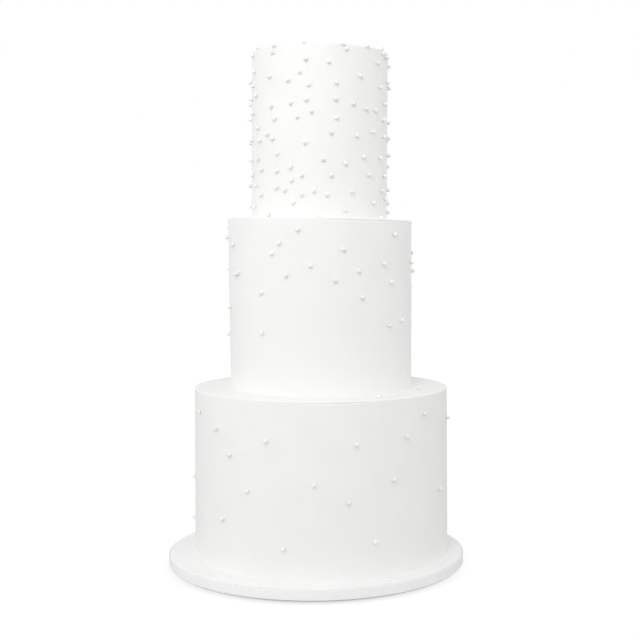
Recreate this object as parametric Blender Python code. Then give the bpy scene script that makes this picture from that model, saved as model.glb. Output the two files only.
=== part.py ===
"""Tiered wedding cake: three tall iced tiers on an iced round board.

Metres, +Z up.  The origin is the middle of the board's underside, so the cake
stands on z = 0.  The front of the cake faces -Y and its right side is +X.

Each tier is a cake turned about a vertical axis: a straight iced wall, a softly
rounded top edge, and a small cove at the foot where the icing is smoothed onto
what the tier stands on.  The tiers were stacked by hand, so each one leans a
little and its top slopes a little, and the next tier stands on that slope.
"""

from collections import namedtuple
import math

import bmesh
import bpy

# Pieces that rest on each other keep this much air between their solids.
GAP = 0.0003
SEGMENTS = 72            # facets round every turned piece
WELD = 0.000001          # joins the turned outline's ends on the axis

# ---- Board: a 13 inch cake drum, iced on top, with a ribbon round its edge ----
BOARD_RADIUS = 0.1645
BOARD_HEIGHT = 0.012
DRUM_HEIGHT = 0.0110       # bare drum, under its icing
DRUM_ROUND = 0.0004
ICING_INSET = 0.0011       # the icing stops this far inside the drum's edge
ICING_ROUND = 0.0009

RIBBON_THICKNESS = 0.0005
RIBBON_BOTTOM = 0.0009
RIBBON_TOP = 0.0107

# ---- Tiers ----
TIER_EDGE_ROUND = 0.0012   # the iced top edge
TIER_COVE = 0.0016         # icing smoothed into the corner at the foot
COVE_LIP = 0.0002          # thickness of the cove's thin outer rim
ARC_STEPS = 4

# Heights, radii and shifts in metres; slopes and leans in degrees.  A slope lowers
# the right (+X) side of the tier's top, and a lean carries the axis towards +X.  A
# shift carries the tier's foot towards +X from the middle of what it stands on.
Tier = namedtuple("Tier", "name height base_radius top_radius shift top_slope lean")
TIERS = (
    Tier("tier_bottom", 0.1840, 0.1418, 0.1405, 0.0061, 0.40, 0.25),
    Tier("tier_middle", 0.1855, 0.1011, 0.1020, 0.0006, 1.50, 0.05),
    Tier("tier_top", 0.1815, 0.0749, 0.0750, -0.0006, 0.95, 0.80),
)

# ---- Materials: base colour, roughness and metallic value ----
ICING = ("icing", (0.90, 0.895, 0.88, 1.0), 0.50, 0.0)
RIBBON = ("ribbon", (0.88, 0.88, 0.875, 1.0), 0.38, 0.0)

SMOOTH_ANGLE = math.radians(35)


def clear_scene():
    """Remove every object that the file opened with."""
    for old in list(bpy.data.objects):
        bpy.data.objects.remove(old, do_unlink=True)


def make_material(name, colour, roughness, metallic):
    """A plain Principled BSDF material."""
    material = bpy.data.materials.new(name)
    material.use_nodes = True
    shader = material.node_tree.nodes["Principled BSDF"]
    shader.inputs["Base Color"].default_value = colour
    shader.inputs["Roughness"].default_value = roughness
    shader.inputs["Metallic"].default_value = metallic
    return material


def arc(centre, radius, start, end):
    """Points (radius, height) on an arc about centre, from start to end in degrees."""
    points = []
    for step in range(ARC_STEPS + 1):
        angle = math.radians(start + (end - start) * step / ARC_STEPS)
        points.append((centre[0] + radius * math.cos(angle), centre[1] + radius * math.sin(angle)))
    return points


def turn(outline, closed=False):
    """A bmesh of the outline, (radius, height) pairs, turned once about the Z axis."""
    solid = bmesh.new()
    verts = [solid.verts.new((radius, 0.0, height)) for radius, height in outline]
    pairs = list(zip(verts, verts[1:]))
    if closed:
        pairs.append((verts[-1], verts[0]))
    edges = [solid.edges.new(pair) for pair in pairs]
    bmesh.ops.spin(
        solid,
        geom=verts + edges,
        cent=(0.0, 0.0, 0.0),
        axis=(0.0, 0.0, 1.0),
        angle=math.tau,
        steps=SEGMENTS,
        use_merge=True,
    )
    bmesh.ops.remove_doubles(solid, verts=solid.verts, dist=WELD)
    bmesh.ops.recalc_face_normals(solid, faces=solid.faces)
    return solid


def add_piece(name, solid, material, location):
    """Make the bmesh into a smooth-shaded object with the given name and place."""
    mesh = bpy.data.meshes.new(name)
    solid.to_mesh(mesh)
    solid.free()
    mesh.materials.append(material)
    mesh.shade_smooth()
    mesh.set_sharp_from_angle(angle=SMOOTH_ANGLE)
    piece = bpy.data.objects.new(name, mesh)
    piece.location = location
    bpy.context.collection.objects.link(piece)
    return piece


def board_outline():
    """The iced drum: flat underside, straight side, and icing set in from the drum's edge."""
    side = BOARD_RADIUS - DRUM_ROUND
    icing_edge = BOARD_RADIUS - ICING_INSET
    outline = [(0.0, 0.0)]
    outline += arc((side, DRUM_ROUND), DRUM_ROUND, -90, 0)
    outline += arc((side, DRUM_HEIGHT - DRUM_ROUND), DRUM_ROUND, 0, 90)
    outline.append((icing_edge, DRUM_HEIGHT))
    outline += arc((icing_edge - ICING_ROUND, BOARD_HEIGHT - ICING_ROUND), ICING_ROUND, 0, 90)
    outline.append((0.0, BOARD_HEIGHT))
    return outline


def ribbon_outline():
    """The ribbon's cross-section, which runs round the side of the board."""
    inner = BOARD_RADIUS + GAP
    outer = inner + RIBBON_THICKNESS
    return [
        (inner, RIBBON_BOTTOM),
        (outer, RIBBON_BOTTOM),
        (outer, RIBBON_TOP),
        (inner, RIBBON_TOP),
    ]


def tier_outline(tier):
    """Half of an upright tier's section, from the middle of its base to that of its top."""
    rim = tier.base_radius + TIER_COVE
    cove_centre = (rim, COVE_LIP + TIER_COVE)
    edge_centre = (tier.top_radius - TIER_EDGE_ROUND, tier.height - TIER_EDGE_ROUND)
    outline = [(0.0, 0.0), (rim, 0.0)]
    outline += arc(cove_centre, TIER_COVE, 270, 180)
    outline += arc(edge_centre, TIER_EDGE_ROUND, 0, 90)
    outline.append((0.0, tier.height))
    return outline


def lean_and_slope(solid, tier, base_slope):
    """Slope the tier's ends and lean its axis, as hand stacking leaves them."""
    for vert in solid.verts:
        rise = vert.co.z / tier.height
        slope = math.radians(base_slope + (tier.top_slope - base_slope) * rise)
        vert.co.z -= vert.co.x * math.tan(slope)
        vert.co.x += rise * tier.height * math.tan(math.radians(tier.lean))


def build_tiers(material):
    """Stack the tiers, each on the slope of the one below."""
    foot_x = 0.0
    foot_z = BOARD_HEIGHT
    slope_below = 0.0
    for tier in TIERS:
        foot_x += tier.shift
        solid = turn(tier_outline(tier._replace(height=tier.height - GAP)))
        lean_and_slope(solid, tier, slope_below)
        add_piece(tier.name, solid, material, (foot_x, 0.0, foot_z + GAP))
        foot_x += tier.height * math.tan(math.radians(tier.lean))
        foot_z += tier.height
        slope_below = tier.top_slope


def build_cake():
    """Clear the scene and make the board, its ribbon and the tiers."""
    clear_scene()
    icing = make_material(*ICING)
    ribbon = make_material(*RIBBON)
    add_piece("board", turn(board_outline()), icing, (0.0, 0.0, 0.0))
    add_piece("board_ribbon", turn(ribbon_outline(), closed=True), ribbon, (0.0, 0.0, 0.0))
    build_tiers(icing)


build_cake()
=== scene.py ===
"""Looks of the tiered wedding cake: satin white icing, sugar pearls and a ribbon-edged board.

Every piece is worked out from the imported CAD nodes.  Metres, +Z up, -Y is the front, and
angles round a tier run from the front (0) towards +X.
"""

from collections import namedtuple
import math
import random

import bmesh
import bpy
from mathutils import Matrix, Vector, noise


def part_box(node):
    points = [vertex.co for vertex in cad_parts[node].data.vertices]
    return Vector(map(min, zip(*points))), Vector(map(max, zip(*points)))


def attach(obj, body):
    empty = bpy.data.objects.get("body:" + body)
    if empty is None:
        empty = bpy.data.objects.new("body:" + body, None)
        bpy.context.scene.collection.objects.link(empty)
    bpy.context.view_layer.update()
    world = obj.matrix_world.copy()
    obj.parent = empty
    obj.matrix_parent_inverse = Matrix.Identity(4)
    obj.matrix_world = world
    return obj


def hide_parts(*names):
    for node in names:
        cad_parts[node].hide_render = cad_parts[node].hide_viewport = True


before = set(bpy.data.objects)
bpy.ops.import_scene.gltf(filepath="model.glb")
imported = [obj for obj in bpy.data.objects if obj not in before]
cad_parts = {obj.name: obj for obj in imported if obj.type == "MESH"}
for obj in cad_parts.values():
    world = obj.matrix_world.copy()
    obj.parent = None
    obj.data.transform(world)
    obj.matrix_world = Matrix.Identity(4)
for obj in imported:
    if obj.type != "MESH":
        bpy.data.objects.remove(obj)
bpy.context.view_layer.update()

# ---- Tier shape ----
CAD_COVE = 0.0016         # how far the cove at a CAD tier's foot stands out from its wall
FOOT_ROUND = 0.0004       # the fine icing's own cove, which ends in what the tier stands on
EDGE_ROUND = 0.0009       # rounded top edge
FLAT_TOLERANCE = 0.00005  # how close to a tier's flat end a point of that end lies
SEAT = 0.0009             # how far a tier's icing reaches down into what it stands on

# ---- Fine meshes: steps round the cake, and rings up and across its parts ----
SEGMENTS = 256
WALL_RINGS = 96
EDGE_RINGS = 8
COVE_RINGS = 5
CAP_RINGS = 24
BALL_SUBDIVISIONS = 3

# ---- Unevenness of hand-smoothed icing: noise size along, noise size in height, depth ----
SWELLS = (0.075, 0.060, 0.00028)
SCRAPER_BANDS = (0.060, 0.008, 0.00003)
CAP_SWELLS = (0.035, 0.035, 0.00018)
OUT_OF_ROUND = 0.00022
EDGE_SOFTNESS_SPREAD = 0.30   # share of the edge round
EDGE_SOFTNESS_RATE = 2.2      # how quickly it changes round the edge
PATTERN_STEP = (3.7, 1.3, 2.1)   # from one tier's place in the noise to the next one's

# ---- Lip that the scraper leaves along a stretch of a tier's top edge ----
LIP_DEPTH = 0.0007            # how far the wall is scraped in under the lip
LIP_DROP = 0.0020             # from the top down to the middle of that furrow
LIP_FURROW = 0.0010           # half the furrow's height
LIP_ZONE = 0.004              # the part of the wall that has rings close enough to show it
LIP_RINGS = 16

# ---- Pearls ----
PEARL_DIAMETER = 0.0044
PEARL_SIZE_SPREAD = 0.05      # share of the diameter
PEARL_SINK = 0.0004           # how deep a pearl is pressed into the icing
PEARL_FLATTENING = 0.05       # the most that a pearl is flattened, as a share of its size
RIM_STAGGER = (0.1, 0.9)      # where in its own share of the rim a pearl may lie
RIM_TURN = (15, 85)           # how far up the rounded edge, in degrees
THICK_SIDE = math.radians(-55)   # the side of the cake where they lie thickest

# How the pearls are strewn.  Each one takes the roomiest spot of a few tries.  On a wall they
# lie between the heights low and high, thin out over the stretch fade above low, and lie
# thicker on the thick side by the share bias.  On a flat top they lie between two radii.
WallPearls = namedtuple("WallPearls", "seed count tries low fade high bias")
FlatPearls = namedtuple("FlatPearls", "seed count tries inner outer")
RimPearls = namedtuple("RimPearls", "seed count")
Strewing = namedtuple("Strewing", "wall flat rim")
STREWING = {
    "tier_top": Strewing(
        WallPearls(7525, 168, 6, low=-0.004, fade=0.030, high=0.179, bias=0.35),
        FlatPearls(40, 26, 4, inner=0.0, outer=0.070),
        RimPearls(4704, 12),
    ),
    "tier_middle": Strewing(
        WallPearls(22269, 50, 2, low=0.030, fade=0.090, high=0.178, bias=0.15),
        FlatPearls(7039, 4, 3, inner=0.0785, outer=0.100),
        RimPearls(1, 0),
    ),
    "tier_bottom": Strewing(
        WallPearls(4000, 36, 3, low=0.030, fade=0.050, high=0.172, bias=0.0),
        FlatPearls(5813, 5, 3, inner=0.106, outer=0.1385),
        RimPearls(1, 0),
    ),
}

# ---- Board ----
DRUM_HEIGHT = 0.0110          # bare drum, under its icing
DRUM_ROUND = 0.0004
ICING_INSET = 0.0011          # the icing stops this far inside the drum's edge
ICING_ROUND = 0.0006
ICING_TUCK = 40               # degrees that the rounded edge of the icing turns in under itself
GROOVE_DEPTH = 0.0008         # how far the groove under that edge goes in
ICING_WOBBLE = 0.00025        # how much the icing's edge wanders in and out
ICING_WOBBLE_RATE = 5         # how quickly it wanders round the board
ICING_WOBBLE_LAYER = 0.3      # the layer of the noise that it follows
RIBBON_THICKNESS = 0.0005
RIBBON_OVERLAP = 0.014        # the ribbon's end lies over its start, at the back
RIBBON_WAVE = 0.0001          # how much the ribbon wanders up and down
RIBBON_WAVE_RATE = 4
RIBBON_WAVE_LAYER = 0.7
RIBBON_SHARP = math.radians(35)   # its edges stay sharp above this angle

# ---- Colours: the darker and the lighter tone of each finish ----
WARM_WHITE = (0.872, 0.872, 0.857, 1)
PALE_WARM_WHITE = (0.888, 0.888, 0.877, 1)
PLAIN_WHITE = (0.870, 0.870, 0.864, 1)
PALE_PLAIN_WHITE = (0.886, 0.886, 0.882, 1)
IVORY = (0.84, 0.836, 0.812, 1)
PALE_IVORY = (0.905, 0.903, 0.891, 1)
SATIN_WHITE = (0.905, 0.905, 0.90, 1)
PALE_SATIN_WHITE = (0.925, 0.925, 0.92, 1)

# ---- Camera: a product view at the height of the middle tier ----
CAMERA_SIDE = 0.0069
CAMERA_DISTANCE = 1.294
CAMERA_HEIGHT = 0.3508
CAMERA_PITCH = 3.591          # degrees down
CAMERA_ROLL = -0.553          # degrees
CAMERA_LENS = 65.1            # mm
CAMERA_SENSOR = 36.0          # mm wide

# ---- Studio ----
SURROUND_LIGHT = 0.649        # from every direction
HORIZON_LIGHT = 0.339         # added to it at the horizon
HORIZON_FALLOFF = 2.0         # how quickly that fades away from the horizon
SIDE_LIGHT = 0.355            # added to it at the cake's left and right
SOFTBOX_AIM = 0.28            # height of the point that the softboxes face
FLOOR_REACH = 8.0             # from the middle of the floor to its sides
FLOOR_GAP = 0.0001            # the floor lies this far below the board
FLOOR_BOUNCE = 0.62           # the floor's tone for the light that it throws back
FLOOR_WHITE = 1.02            # the glow that the camera sees of it in the open
SIDE_SHADE = 0.10             # how dark the painted contact shadow gets where the cake wholly covers the floor
FRONT_SHADE = 0.65            # added to that painted shadow in front of the cake
FRONT_FALLOFF = 2.0           # how quickly that fades towards the sides
SHADE_REACH = 0.016           # how far the painted soft contact shadow reaches

# Degrees round from the front towards +X, degrees up, metres away, metres wide, watts.
Softbox = namedtuple("Softbox", "side elevation distance size power")
SOFTBOXES = {
    "front_softbox": Softbox(-10.0, 40.0, 1.3, 0.4, 4.17),
    "left_softbox": Softbox(-60.0, 10.0, 0.9, 0.5, 0.42),
}


# ================================================================ tier shape

def flat_end(points, upward):
    """Centre and slope of a tier's flat top (upward = 1) or base (upward = -1)."""
    low_x = min(p.x for p in points)
    high_x = max(p.x for p in points)
    quarter = (high_x - low_x) / 4
    left = max((p for p in points if p.x < low_x + quarter), key=lambda p: upward * p.z)
    right = max((p for p in points if p.x > high_x - quarter), key=lambda p: upward * p.z)
    slope = (left.z - right.z) / (right.x - left.x)
    rim = [p for p in points if abs(left.z - slope * (p.x - left.x) - p.z) < FLAT_TOLERANCE]
    x = (min(p.x for p in rim) + max(p.x for p in rim)) / 2
    y = (min(p.y for p in rim) + max(p.y for p in rim)) / 2
    return Vector((x, y, left.z - slope * (x - left.x))), slope


class Tier:
    """The size, place and lean of one tier, read off its CAD node, and its uneven surface."""

    def __init__(self, node, seed, lip_middle, lip_reach):
        """The seed picks the pattern; the lip's middle and half its length are in degrees."""
        low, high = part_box(node)
        points = [vert.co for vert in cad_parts[node].data.vertices]
        middle_z = (low.z + high.z) / 2
        self.node = node
        self.base, self.base_slope = flat_end(points, -1)
        self.top, self.top_slope = flat_end(points, 1)
        self.height = self.top.z - self.base.z
        self.base_radius = (high.y - low.y) / 2 - CAD_COVE
        self.top_radius = max(abs(p.y) for p in points if p.z > middle_z)
        self.offset = Vector([seed * step for step in PATTERN_STEP])
        self.lip_middle = math.radians(lip_middle)
        self.lip_reach = math.radians(lip_reach)

    def wall_radius(self, height):
        """Radius of the straight wall at a height above the tier's base."""
        return self.base_radius + (self.top_radius - self.base_radius) * height / self.height

    def place(self, angle, radius, height):
        """The point at this angle, radius and height of the tier, leaning as it leans."""
        rise = height / self.height
        slope = self.base_slope + (self.top_slope - self.base_slope) * rise
        axis = self.base.lerp(self.top, rise)
        x = radius * math.sin(angle)
        return Vector((axis.x + x, axis.y - radius * math.cos(angle), axis.z - x * slope))

    def ripple(self, angle, radius, height, kind):
        """Height of one kind of unevenness at a point of the tier."""
        across, tall, depth = kind
        x = radius * math.sin(angle) / across
        y = radius * math.cos(angle) / across
        return depth * noise.noise(Vector((x, y, height / tall)) + self.offset)

    def furrow(self, angle, height):
        """Depth of the furrow under the lip, which fades out at the ends of its stretch."""
        along = abs((angle - self.lip_middle + math.pi) % math.tau - math.pi) / self.lip_reach
        across = abs(self.height - LIP_DROP - height) / LIP_FURROW
        if along >= 1 or across >= 1:
            return 0.0
        return LIP_DEPTH * (1 - along ** 2) * (0.5 + 0.5 * math.cos(math.pi * across))

    def wall_bulge(self, angle, height):
        """How far the iced wall stands out from the true cylinder."""
        radius = self.wall_radius(height)
        bulge = OUT_OF_ROUND * math.cos(2 * angle + self.offset.x)
        bulge += self.ripple(angle, radius, height, SWELLS)
        bulge += self.ripple(angle, radius, height, SCRAPER_BANDS)
        return bulge - self.furrow(angle, height)

    def cap_bulge(self, angle, radius):
        """How far the flat top stands up from its plane."""
        return self.ripple(angle, radius, self.height, CAP_SWELLS)

    def edge_round(self, angle):
        """The top edge is softer in some places than in others."""
        rate = EDGE_SOFTNESS_RATE
        spot = Vector((math.sin(angle) * rate, math.cos(angle) * rate, 0)) + self.offset
        return EDGE_ROUND * (1 + EDGE_SOFTNESS_SPREAD * noise.noise(spot))

    def rim(self, angle):
        """The top edge's round, the height where it starts, and the radius of its centre."""
        edge = self.edge_round(angle)
        wall_top = self.height - edge
        centre = self.wall_radius(wall_top) + self.wall_bulge(angle, wall_top) - edge
        return edge, wall_top, centre

    def wall_point(self, angle, height):
        """A point on the iced wall."""
        return self.place(angle, self.wall_radius(height) + self.wall_bulge(angle, height), height)

    def cap_point(self, angle, radius):
        """A point on the iced top."""
        return self.place(angle, radius, self.height + self.cap_bulge(angle, radius))

    def column(self, angle):
        """The iced surface at one angle, as points from the foot up to the middle of the top."""
        points = []
        foot = self.base_radius + self.wall_bulge(angle, 0.0)
        points.append(self.place(angle, foot + FOOT_ROUND, -SEAT))
        for step in range(COVE_RINGS):
            turn = math.radians(90 * step / COVE_RINGS)
            radius = foot + FOOT_ROUND * (1 - math.sin(turn))
            points.append(self.place(angle, radius, -FOOT_ROUND * math.cos(turn)))
        edge, wall_top, centre = self.rim(angle)
        zone = wall_top - LIP_ZONE
        for step in range(WALL_RINGS):
            points.append(self.wall_point(angle, zone * step / WALL_RINGS))
        for step in range(LIP_RINGS + 1):
            points.append(self.wall_point(angle, zone + LIP_ZONE * step / LIP_RINGS))
        lift = self.cap_bulge(angle, centre)
        for step in range(1, EDGE_RINGS + 1):
            turn = math.radians(90 * step / EDGE_RINGS)
            height = wall_top + edge * math.sin(turn) + lift * step / EDGE_RINGS
            points.append(self.place(angle, centre + edge * math.cos(turn), height))
        for step in range(1, CAP_RINGS):
            points.append(self.cap_point(angle, centre * (1 - step / CAP_RINGS)))
        return points


# ================================================================ mesh helpers

def make_object(name, verts, faces, material):
    """A smooth-shaded mesh object."""
    mesh = bpy.data.meshes.new(name)
    mesh.from_pydata([tuple(v) for v in verts], [], faces)
    mesh.validate()
    mesh.shade_smooth()
    mesh.materials.append(material)
    piece = bpy.data.objects.new(name, mesh)
    bpy.context.collection.objects.link(piece)
    return piece


def turned_object(name, column, base, top, material):
    """Join columns of points, one for each angle, into a closed skin with its base and top middles."""
    columns = [column(math.tau * step / SEGMENTS) for step in range(SEGMENTS)]
    rings = len(columns[0])
    verts = [point for points in columns for point in points]
    faces = []
    for step in range(SEGMENTS):
        here = step * rings
        there = (step + 1) % SEGMENTS * rings
        for ring in range(rings - 1):
            faces.append((here + ring, there + ring, there + ring + 1, here + ring + 1))
        faces.append((here + rings - 1, there + rings - 1, len(verts) + 1))
        faces.append((there, here, len(verts)))
    return make_object(name, verts + [base, top], faces, material)


# ================================================================ materials

def new_material(name):
    """A node material; returns it with its node tree and its Principled BSDF."""
    material = bpy.data.materials.new(name)
    material.use_nodes = True
    tree = material.node_tree
    return material, tree, tree.nodes["Principled BSDF"]


def add_noise(tree, scale, detail, stretch=(1, 1, 1)):
    """A noise texture in the object's own metres; stretch above 1 packs it tighter along that axis."""
    coords = tree.nodes.new("ShaderNodeTexCoord")
    mapping = tree.nodes.new("ShaderNodeMapping")
    mapping.inputs["Scale"].default_value = stretch
    texture = tree.nodes.new("ShaderNodeTexNoise")
    texture.inputs["Scale"].default_value = scale
    texture.inputs["Detail"].default_value = detail
    tree.links.new(coords.outputs["Object"], mapping.inputs["Vector"])
    tree.links.new(mapping.outputs["Vector"], texture.inputs["Vector"])
    return texture


def add_ramp(tree, source, low, high, low_value, high_value):
    """Map a factor between low and high to two colours or two grey values."""
    ramp = tree.nodes.new("ShaderNodeValToRGB")
    ramp.color_ramp.elements[0].position = low
    ramp.color_ramp.elements[1].position = high
    for element, value in zip(ramp.color_ramp.elements, (low_value, high_value)):
        element.color = value if isinstance(value, tuple) else (value, value, value, 1)
    tree.links.new(source, ramp.inputs["Fac"])
    return ramp.outputs["Color"]


def add_math(tree, operation, first, second=None):
    """A math node on sockets or numbers; returns its output."""
    node = tree.nodes.new("ShaderNodeMath")
    node.operation = operation
    for socket, value in zip(node.inputs, (first, second)):
        if isinstance(value, float):
            socket.default_value = value
        elif value is not None:
            tree.links.new(value, socket)
    return node.outputs["Value"]


def add_bump(tree, height, strength, distance, below=None):
    """A bump node, chained on the one below it."""
    bump = tree.nodes.new("ShaderNodeBump")
    bump.inputs["Strength"].default_value = strength
    bump.inputs["Distance"].default_value = distance
    tree.links.new(height, bump.inputs["Height"])
    if below is not None:
        tree.links.new(below, bump.inputs["Normal"])
    return bump.outputs["Normal"]


def icing_material(name, darker, lighter):
    """Smooth white icing: a satin skin with a faint grain, cloudy between two close tones."""
    material, tree, shader = new_material(name)
    clouds = add_noise(tree, scale=28, detail=3)
    colour = add_ramp(tree, clouds.outputs["Fac"], 0.35, 0.65, darker, lighter)
    tree.links.new(colour, shader.inputs["Base Color"])
    satin = add_noise(tree, scale=160, detail=4)
    roughness = add_ramp(tree, satin.outputs["Fac"], 0.3, 0.7, low_value=0.44, high_value=0.56)
    tree.links.new(roughness, shader.inputs["Roughness"])
    shader.inputs["Specular IOR Level"].default_value = 0.35
    shader.inputs["Subsurface Weight"].default_value = 0.15
    shader.inputs["Subsurface Radius"].default_value = (1.0, 0.9, 0.8)
    shader.inputs["Subsurface Scale"].default_value = 0.0015
    grain = add_noise(tree, scale=1600, detail=3)
    streaks = add_noise(tree, scale=90, detail=2, stretch=(1, 1, 7))
    normal = add_bump(tree, grain.outputs["Fac"], strength=0.10, distance=0.0002)
    normal = add_bump(tree, streaks.outputs["Fac"], strength=0.06, distance=0.0004, below=normal)
    tree.links.new(normal, shader.inputs["Normal"])
    return material


def pearl_material():
    """Ivory sugar pearls with a pearly coat, each one a slightly different tone."""
    material, tree, shader = new_material("sugar_pearl")
    geometry = tree.nodes.new("ShaderNodeNewGeometry")
    tone = geometry.outputs["Random Per Island"]
    colour = add_ramp(tree, tone, 0.0, 1.0, IVORY, PALE_IVORY)
    tree.links.new(colour, shader.inputs["Base Color"])
    shader.inputs["Roughness"].default_value = 0.4
    shader.inputs["Specular IOR Level"].default_value = 0.5
    shader.inputs["Coat Weight"].default_value = 0.3
    shader.inputs["Coat Roughness"].default_value = 0.2
    shader.inputs["Subsurface Weight"].default_value = 0.45
    shader.inputs["Subsurface Radius"].default_value = (1.0, 0.9, 0.75)
    shader.inputs["Subsurface Scale"].default_value = 0.0010
    sugar = add_noise(tree, scale=2600, detail=2)
    normal = add_bump(tree, sugar.outputs["Fac"], strength=0.08, distance=0.0001)
    tree.links.new(normal, shader.inputs["Normal"])
    return material


def ribbon_material():
    """White satin ribbon with a fine woven rib."""
    material, tree, shader = new_material("satin_ribbon")
    cloth = add_noise(tree, scale=60, detail=3)
    colour = add_ramp(tree, cloth.outputs["Fac"], 0.3, 0.7, SATIN_WHITE, PALE_SATIN_WHITE)
    tree.links.new(colour, shader.inputs["Base Color"])
    shader.inputs["Roughness"].default_value = 0.42
    shader.inputs["Sheen Weight"].default_value = 0.15
    shader.inputs["Sheen Roughness"].default_value = 0.4
    weave = add_noise(tree, scale=900, detail=2, stretch=(0.15, 0.15, 3.0))
    normal = add_bump(tree, weave.outputs["Fac"], strength=0.15, distance=0.0001)
    tree.links.new(normal, shader.inputs["Normal"])
    return material


def floor_material():
    """White studio floor that throws back less light than it shows.

    The camera sees only its glow, into which a soft contact shadow is painted from ambient occlusion,
    darkest in front of the cake.
    """
    material, tree, shader = new_material("studio_floor")
    rays = tree.nodes.new("ShaderNodeLightPath")
    tone = tree.nodes.new("ShaderNodeMix")
    tone.data_type = "RGBA"
    tone.inputs["A"].default_value = (FLOOR_BOUNCE, FLOOR_BOUNCE, FLOOR_BOUNCE, 1)
    tone.inputs["B"].default_value = (0, 0, 0, 1)
    tree.links.new(rays.outputs["Is Camera Ray"], tone.inputs["Factor"])
    tree.links.new(tone.outputs["Result"], shader.inputs["Base Color"])
    # painted contact shadow: the glow is darkened where ambient occlusion finds the floor covered, more
    # so in front of the cake
    openness = tree.nodes.new("ShaderNodeAmbientOcclusion")
    openness.inputs["Distance"].default_value = SHADE_REACH
    painted_shadow_mask = add_math(tree, "SUBTRACT", 1.0, openness.outputs["AO"])
    place = tree.nodes.new("ShaderNodeNewGeometry")
    direction = tree.nodes.new("ShaderNodeVectorMath")
    direction.operation = "NORMALIZE"
    split = tree.nodes.new("ShaderNodeSeparateXYZ")
    tree.links.new(place.outputs["Position"], direction.inputs[0])
    tree.links.new(direction.outputs["Vector"], split.inputs["Vector"])
    ahead = add_math(tree, "MAXIMUM", add_math(tree, "MULTIPLY", split.outputs["Y"], -1.0), 0.0)
    fade = add_math(tree, "POWER", ahead, FRONT_FALLOFF)
    front = add_math(tree, "MULTIPLY", FRONT_SHADE, fade)
    depth = add_math(tree, "MULTIPLY", painted_shadow_mask, add_math(tree, "ADD", SIDE_SHADE, front))
    # the glow that camera rays see: white, with the painted shadow taken off
    shown = add_math(tree, "MULTIPLY", FLOOR_WHITE, add_math(tree, "SUBTRACT", 1.0, depth))
    tree.links.new(shown, shader.inputs["Emission Color"])
    tree.links.new(rays.outputs["Is Camera Ray"], shader.inputs["Emission Strength"])
    shader.inputs["Roughness"].default_value = 0.9
    shader.inputs["Specular IOR Level"].default_value = 0.0
    return material


TIER_ICING = icing_material("tier_icing", WARM_WHITE, PALE_WARM_WHITE)
BOARD_ICING = icing_material("board_icing", PLAIN_WHITE, PALE_PLAIN_WHITE)
PEARL = pearl_material()
RIBBON = ribbon_material()


# ================================================================ board

def ring_noise(angle, rate, layer):
    """Smooth noise round a ring: it changes faster with rate, and each layer has its own pattern."""
    return noise.noise(Vector((math.sin(angle) * rate, math.cos(angle) * rate, layer)))


class Board:
    """The iced drum, read off its CAD node."""

    def __init__(self):
        low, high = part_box("board")
        self.centre = Vector(((low.x + high.x) / 2, (low.y + high.y) / 2, low.z))
        self.radius = (high.x - low.x) / 2
        self.height = high.z - low.z

    def point(self, angle, radius, height):
        """A point of the board at this angle, radius and height."""
        return self.centre + Vector((radius * math.sin(angle), -radius * math.cos(angle), height))

    def top_point(self, angle, radius):
        """A point on the iced top, which has soft swells."""
        across, _, depth = CAP_SWELLS
        spot = Vector((radius * math.sin(angle), radius * math.cos(angle), 0)) / across
        return self.point(angle, radius, self.height + depth * noise.noise(spot))

    def column(self, angle):
        """The board's skin at one angle: drum side, step, groove, rounded icing edge, flat top."""
        drift = ring_noise(angle, ICING_WOBBLE_RATE, ICING_WOBBLE_LAYER)
        edge = self.radius - ICING_INSET + ICING_WOBBLE * drift
        points = [
            self.point(angle, self.radius - DRUM_ROUND, 0.0),
            self.point(angle, self.radius, DRUM_ROUND),
            self.point(angle, self.radius, DRUM_HEIGHT - DRUM_ROUND),
            self.point(angle, self.radius - DRUM_ROUND, DRUM_HEIGHT),
            self.point(angle, edge - GROOVE_DEPTH, DRUM_HEIGHT),
        ]
        inner = edge - ICING_ROUND
        for step in range(EDGE_RINGS + 1):
            turn = math.radians((90 + ICING_TUCK) * step / EDGE_RINGS - ICING_TUCK)
            height = self.height - ICING_ROUND * (1 - math.sin(turn))
            points.append(self.point(angle, inner + ICING_ROUND * math.cos(turn), height))
        for step in range(1, CAP_RINGS):
            points.append(self.top_point(angle, inner * (1 - step / CAP_RINGS)))
        return points


def make_board():
    """The iced board."""
    board = Board()
    piece = turned_object("iced_board", board.column, board.centre, board.top_point(0, 0), BOARD_ICING)
    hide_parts("board")
    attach(piece, "root")


def make_ribbon():
    """The ribbon round the board: one strip whose end lies over its start, at the back."""
    low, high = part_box("board_ribbon")
    outer = (high.x - low.x) / 2
    middle = (low + high) / 2
    overlap = RIBBON_OVERLAP / outer
    verts = []
    for step in range(SEGMENTS + 1):
        along = (math.tau + overlap) * step / SEGMENTS
        angle = math.pi + along
        over = min(1.0, max(0.0, (along - math.tau + overlap) / overlap))
        lift = RIBBON_THICKNESS * over * over * (3 - 2 * over)
        wave = RIBBON_WAVE * ring_noise(angle, RIBBON_WAVE_RATE, RIBBON_WAVE_LAYER)
        for radius, z in (
            (outer - RIBBON_THICKNESS + lift, low.z),
            (outer + lift, low.z),
            (outer + lift, high.z),
            (outer - RIBBON_THICKNESS + lift, high.z),
        ):
            x = middle.x + radius * math.sin(angle)
            y = middle.y - radius * math.cos(angle)
            verts.append(Vector((x, y, z + wave)))
    corners = 4
    faces = [(3, 2, 1, 0)]
    for step in range(SEGMENTS):
        for corner in range(corners):
            here = step * corners + corner
            beside = step * corners + (corner + 1) % corners
            faces.append((here, beside, beside + corners, here + corners))
    last = SEGMENTS * corners
    faces.append((last, last + 1, last + 2, last + 3))
    piece = make_object("ribbon_band", verts, faces, RIBBON)
    piece.data.set_sharp_from_angle(angle=RIBBON_SHARP)
    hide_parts("board_ribbon")
    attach(piece, "root")


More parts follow.
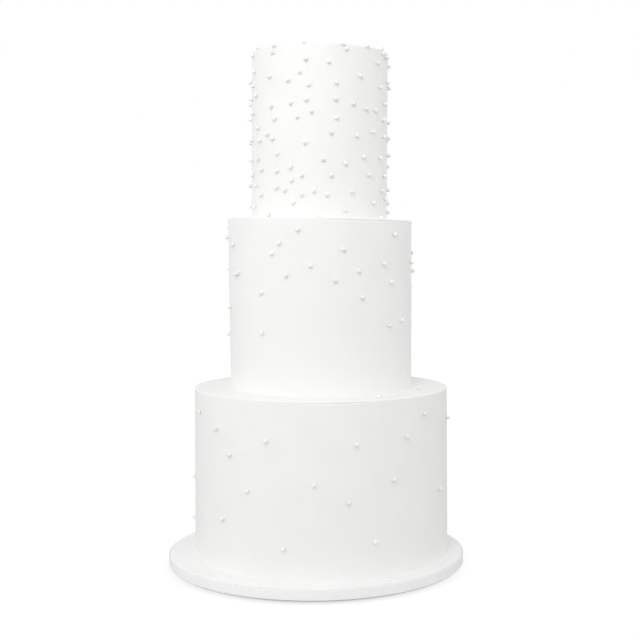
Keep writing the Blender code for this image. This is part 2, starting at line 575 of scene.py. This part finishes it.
def make_tier(tier):
    """The fine iced skin of one tier."""
    base = tier.place(0, 0, -SEAT)
    piece = turned_object(tier.node + "_icing", tier.column, base, tier.cap_point(0, 0), TIER_ICING)
    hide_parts(tier.node)
    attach(piece, "root")


# ================================================================ pearls

def scatter(count, tries, pick, place):
    """Spots set one by one, each the one of a few tries that lies furthest from the others."""
    spots = []
    points = []
    for _ in range(count):
        options = []
        for _ in range(tries):
            spot = pick()
            point = place(*spot)
            room = min(((point - other).length_squared for other in points), default=0.0)
            options.append((room, spot, point))
        _, spot, point = max(options, key=lambda option: option[0])
        spots.append(spot)
        points.append(point)
    return spots


def wall_spots(tier, rng, strewn):
    """Angles and heights of pearls on a wall."""
    radius = tier.wall_radius(tier.height / 2)

    def pick():
        while True:
            angle = rng.uniform(-math.pi, math.pi)
            height = rng.uniform(strewn.low, strewn.high)
            chance = min(1.0, (height - strewn.low) / strewn.fade)
            chance *= 1 + strewn.bias * math.cos(angle - THICK_SIDE)
            if rng.random() * (1 + strewn.bias) < chance:
                return angle, height

    def place(angle, height):
        return Vector((radius * math.sin(angle), -radius * math.cos(angle), height))

    return scatter(strewn.count, strewn.tries, pick, place)


def flat_spots(rng, strewn):
    """Angles and radii of pearls lying on a tier's flat top."""
    def pick():
        angle = rng.uniform(-math.pi, math.pi)
        return angle, math.sqrt(rng.uniform(strewn.inner ** 2, strewn.outer ** 2))

    def place(angle, radius):
        return Vector((radius * math.sin(angle), -radius * math.cos(angle), 0))

    return scatter(strewn.count, strewn.tries, pick, place)


def pearl_template():
    """Vertices and faces of a unit ball."""
    ball = bmesh.new()
    bmesh.ops.create_icosphere(ball, subdivisions=BALL_SUBDIVISIONS, radius=1.0)
    verts = [vert.co.copy() for vert in ball.verts]
    faces = [tuple(vert.index for vert in face.verts) for face in ball.faces]
    ball.free()
    return verts, faces


def make_pearls(name, places, rng):
    """All pearls of one tier as one mesh, at places given as (surface point, direction out of it)."""
    ball_verts, ball_faces = pearl_template()
    verts = []
    faces = []
    for surface, direction in places:
        radius = PEARL_DIAMETER / 2 * (1 + PEARL_SIZE_SPREAD * rng.uniform(-1, 1))
        centre = surface + direction * (radius - PEARL_SINK)
        turn = rng.uniform(0, math.tau)
        axis = Vector([rng.gauss(0, 1) for _ in range(3)])
        spin = Matrix.Rotation(turn, 3, axis)
        first = len(verts)
        squash = Vector((1, 1, 1 - PEARL_FLATTENING * rng.random()))
        verts += [centre + radius * (spin @ (vert * squash)) for vert in ball_verts]
        faces += [tuple(index + first for index in face) for face in ball_faces]
    piece = make_object(name, verts, faces, PEARL)
    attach(piece, "root")


def outward(angle, turn=0.0):
    """The direction out from a tier at this angle, turned upwards."""
    level = math.cos(turn)
    return Vector((level * math.sin(angle), -level * math.cos(angle), math.sin(turn)))


def wall_places(tier, spots):
    """Surface points and outward directions for pearls on a wall, given as (angle, height)."""
    return [(tier.wall_point(angle, height), outward(angle)) for angle, height in spots]


def flat_places(tier, spots):
    """Surface points and directions for pearls lying on a tier's top, given as (angle, radius)."""
    return [(tier.cap_point(angle, radius), Vector((0, 0, 1))) for angle, radius in spots]


def rim_places(tier, rng, strewn):
    """Surface points and directions for pearls stuck on the rounded top edge."""
    places = []
    for step in range(strewn.count):
        angle = math.tau * (step + rng.uniform(*RIM_STAGGER)) / strewn.count
        turn = math.radians(rng.uniform(*RIM_TURN))
        edge, wall_top, centre = tier.rim(angle)
        radius = centre + edge * math.cos(turn)
        surface = tier.place(angle, radius, wall_top + edge * math.sin(turn))
        places.append((surface, outward(angle, turn)))
    return places


def make_tier_pearls(tier):
    """Strew one tier with pearls: on its wall, on its rim and on its flat top."""
    wall, flat, rim = STREWING[tier.node]
    places = wall_places(tier, wall_spots(tier, random.Random(wall.seed), wall))
    places += rim_places(tier, random.Random(rim.seed), rim)
    places += flat_places(tier, flat_spots(random.Random(flat.seed), flat))
    make_pearls(tier.node.replace("tier", "pearls"), places, random.Random(wall.seed))


make_board()
make_ribbon()
for tier in (
    Tier("tier_bottom", seed=1, lip_middle=6, lip_reach=16),
    Tier("tier_middle", seed=2, lip_middle=25, lip_reach=24),
    Tier("tier_top", seed=3, lip_middle=-150, lip_reach=30),
):
    make_tier(tier)
    make_tier_pearls(tier)


# ================================================================ studio

def make_floor():
    """A wide white floor."""
    far = FLOOR_REACH
    verts = [(-far, -far, 0), (far, -far, 0), (far, far, 0), (-far, far, 0)]
    floor = make_object("studio_floor", verts, [(0, 1, 2, 3)], floor_material())
    floor.location.z = -FLOOR_GAP


def make_world():
    """Soft white light from all round, brighter at the horizon and the sides; the backdrop is white."""
    world = bpy.data.worlds.new("studio")
    bpy.context.scene.world = world
    world.use_nodes = True
    tree = world.node_tree
    surround = tree.nodes["Background"]
    surround.inputs["Color"].default_value = (1, 1, 1, 1)
    coords = tree.nodes.new("ShaderNodeTexCoord")
    split = tree.nodes.new("ShaderNodeSeparateXYZ")
    tree.links.new(coords.outputs["Generated"], split.inputs["Vector"])
    height = add_math(tree, "ABSOLUTE", split.outputs["Z"])
    nearness = add_math(tree, "SUBTRACT", 1.0, height)
    fade = add_math(tree, "POWER", nearness, HORIZON_FALLOFF)
    horizon = add_math(tree, "MULTIPLY", HORIZON_LIGHT, fade)
    aside = add_math(tree, "ABSOLUTE", split.outputs["X"])
    sides = add_math(tree, "MULTIPLY", SIDE_LIGHT, aside)
    light = add_math(tree, "ADD", SURROUND_LIGHT, add_math(tree, "ADD", horizon, sides))
    rays = tree.nodes.new("ShaderNodeLightPath")
    shown = add_math(tree, "MAXIMUM", light, rays.outputs["Is Camera Ray"])
    tree.links.new(shown, surround.inputs["Strength"])


def add_softbox(name, softbox):
    """A square softbox aimed at the middle of the cake."""
    middle = Vector((CAMERA_SIDE, 0, SOFTBOX_AIM))
    side = math.radians(softbox.side)
    up = math.radians(softbox.elevation)
    away = Vector((math.sin(side) * math.cos(up), -math.cos(side) * math.cos(up), math.sin(up)))
    data = bpy.data.lights.new(name, "AREA")
    data.shape = "SQUARE"
    data.size = softbox.size
    data.energy = softbox.power
    lamp = bpy.data.objects.new(name, data)
    lamp.location = middle + away * softbox.distance
    lamp.rotation_euler = (-away).to_track_quat("-Z", "Y").to_euler()
    lamp.visible_camera = False
    bpy.context.collection.objects.link(lamp)


def make_camera():
    """The product camera, looking at the cake from the front and slightly down."""
    data = bpy.data.cameras.new("product_camera")
    data.lens = CAMERA_LENS
    data.sensor_width = CAMERA_SENSOR
    camera = bpy.data.objects.new("product_camera", data)
    camera.location = (CAMERA_SIDE, -CAMERA_DISTANCE, CAMERA_HEIGHT)
    look = Matrix.Rotation(math.radians(90 - CAMERA_PITCH), 3, "X")
    roll = Matrix.Rotation(math.radians(CAMERA_ROLL), 3, "Z")
    camera.rotation_euler = (look @ roll).to_euler()
    bpy.context.collection.objects.link(camera)
    bpy.context.scene.camera = camera


make_floor()
make_world()
for name, softbox in SOFTBOXES.items():
    add_softbox(name, softbox)
make_camera()
bpy.context.scene.view_settings.view_transform = "Standard"
